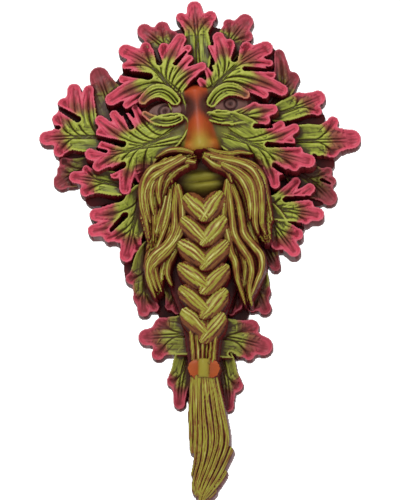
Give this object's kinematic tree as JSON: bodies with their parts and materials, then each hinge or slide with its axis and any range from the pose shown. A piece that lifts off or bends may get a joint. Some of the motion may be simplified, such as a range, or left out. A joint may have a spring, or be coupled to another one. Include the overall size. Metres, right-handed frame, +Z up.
{
  "type": "leaf face wall plaque",
  "caption": "Wall relief of a bearded face among oak leaves, with a long moustache, loose beard locks and a plaited beard that ends in a banded tassel.",
  "frame": {"origin": "on the flat back, in the plane of the wall, between the brows", "axes": "+Z up along the face toward the crown leaf, +Y out of the back into the wall, the relief stands toward -Y, +X to the right as seen from the front"},
  "size_m": [0.1976, 0.0433, 0.3099],
  "materials": {
    "painted_resin": "hand-painted resin with a satin sheen: pink leaf edges, yellow-green middles, maroon sides and hollows"
  },
  "bodies": {
    "root": {"leaf_mask_plaque": "painted_resin"}
  },
  "joints": []
}
